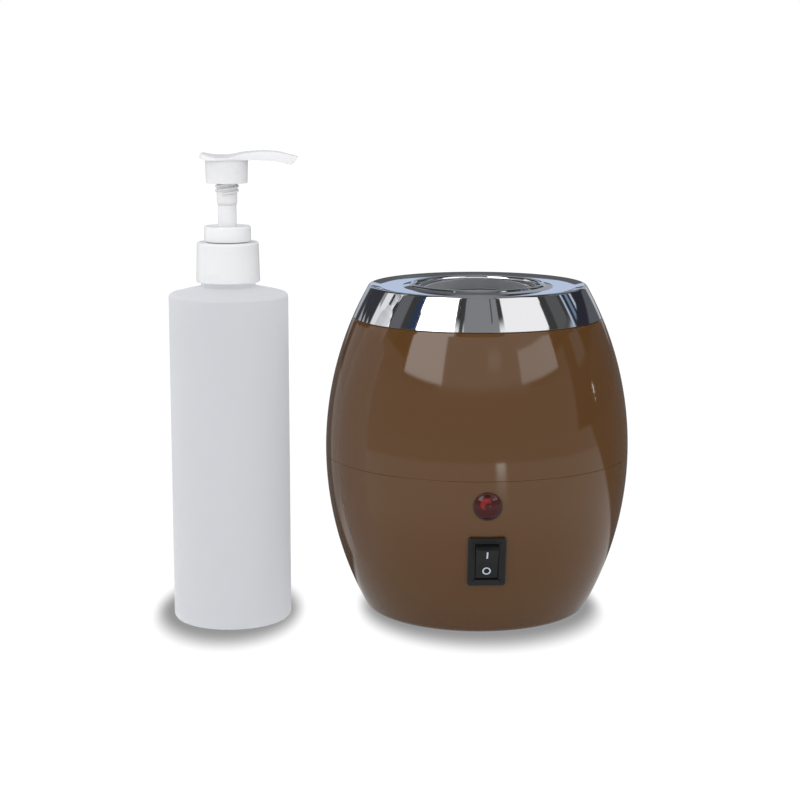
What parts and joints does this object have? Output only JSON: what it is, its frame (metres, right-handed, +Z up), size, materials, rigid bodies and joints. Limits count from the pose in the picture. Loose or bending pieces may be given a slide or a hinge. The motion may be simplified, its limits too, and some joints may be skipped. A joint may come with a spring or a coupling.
{
  "type": "massage oil warmer",
  "caption": "Barrel-shaped electric massage oil warmer with a chrome ring round its open heated well, a rocker switch and a lamp, beside its tall pump bottle.",
  "frame": {"origin": "on the surface the set stands on, under the middle of the box round the warmer and its bottle", "axes": "+Z up, +X to the right, -Y towards the front with the switch and lamp; the bottle stands on the -X side"},
  "size_m": [0.1893, 0.1282, 0.1926],
  "materials": {
    "brown_plastic": "glossy moulded brown plastic",
    "chrome": "mirror-bright plated plastic",
    "aluminium": "satin drawn aluminium",
    "heater_foil": "mica-faced heating band",
    "felt": "pale fibre felt",
    "black_plastic": "satin black plastic",
    "black_rubber": "matt black rubber",
    "steel": "zinc-plated steel",
    "inner_plastic": "natural heat-proof plastic",
    "red_lens": "clear dark red plastic",
    "bulb_glass": "clear glass",
    "brass": "plain brass",
    "brown_wire": "brown wire sheath",
    "blue_wire": "blue wire sheath",
    "milky_plastic": "frosted milky plastic",
    "white_plastic": "glossy white plastic"
  },
  "bodies": {
    "warmer": {"lower_shell": "brown_plastic", "upper_shell": "brown_plastic", "chrome_ring": "chrome", "heating_well": "aluminium", "heater_band": "heater_foil", "insulation_sleeve": "felt", "thermal_fuse": "aluminium", "base_plate": "black_plastic", "foot_1": "black_rubber", "foot_2": "black_rubber", "foot_3": "black_rubber", "foot_4": "black_rubber", "base_screw_1": "steel", "base_screw_2": "steel", "base_screw_3": "steel", "shell_screw_1": "steel", "shell_screw_2": "steel", "shell_screw_3": "steel", "ring_screw_1": "steel", "ring_screw_2": "steel", "ring_screw_3": "steel", "well_support": "inner_plastic", "support_screw_1": "steel", "support_screw_2": "steel", "support_screw_3": "steel", "thermostat": "steel", "thermostat_bracket": "steel", "bracket_screw_1": "steel", "bracket_screw_2": "steel", "lamp_lens": "red_lens", "lamp_holder": "black_plastic", "lamp_bulb": "bulb_glass", "lamp_nut": "steel", "switch_frame": "black_plastic", "switch_terminal_1": "brass", "switch_terminal_2": "brass", "cord_gland": "black_plastic", "gland_nut": "black_plastic", "terminal_block": "inner_plastic", "live_wire": "brown_wire", "switched_wire": "brown_wire", "heater_wire": "brown_wire", "neutral_wire": "blue_wire", "lamp_wire_1": "brown_wire", "lamp_wire_2": "blue_wire"},
    "rocker": {"switch_rocker": "black_plastic", "switch_contact": "brass"},
    "bottle": {"bottle": "milky_plastic"},
    "pump": {"pump_housing": "white_plastic", "neck_gasket": "felt", "dip_tube": "milky_plastic", "stem_guide": "white_plastic", "valve_ball": "steel", "return_spring": "steel"},
    "collar": {"screw_collar": "white_plastic"},
    "stem": {"pump_stem": "white_plastic", "piston_seal": "inner_plastic"},
    "head": {"pump_head": "white_plastic"}
  },
  "joints": [
    {"name": "switch_rock", "type": "hinge", "parent": "warmer", "child": "rocker", "pos_m": [0.03165, -0.05615, 0.03457], "axis": [-1, 0, 0], "range_deg": [0, 24]},
    {"name": "bottle_lift", "type": "slide", "parent": "warmer", "child": "bottle", "axis": [0, 0, 1], "range_m": [0, 0.15]},
    {"name": "pump_rise", "type": "slide", "parent": "bottle", "child": "pump", "axis": [0, 0, 1], "range_m": [0, 0.0048]},
    {"name": "collar_turn", "type": "hinge", "parent": "pump", "child": "collar", "pos_m": [-0.07045, -0.01094, 0.147], "axis": [0, 0, 1], "range_deg": [0, 540]},
    {"name": "pump_press", "type": "slide", "parent": "pump", "child": "stem", "axis": [0, 0, -1], "range_m": [0, 0.0145], "stiffness_N_per_m": 600, "springref_m": -0.008, "deforming": ["return_spring"]},
    {"name": "head_turn", "type": "hinge", "parent": "stem", "child": "head", "pos_m": [-0.07045, -0.01094, 0.18], "axis": [0, 0, 1], "continuous": true}
  ],
  "couplings": [
    {"joint": "collar_turn", "follows": "pump_rise", "rad_per_m": 1963.4}
  ]
}
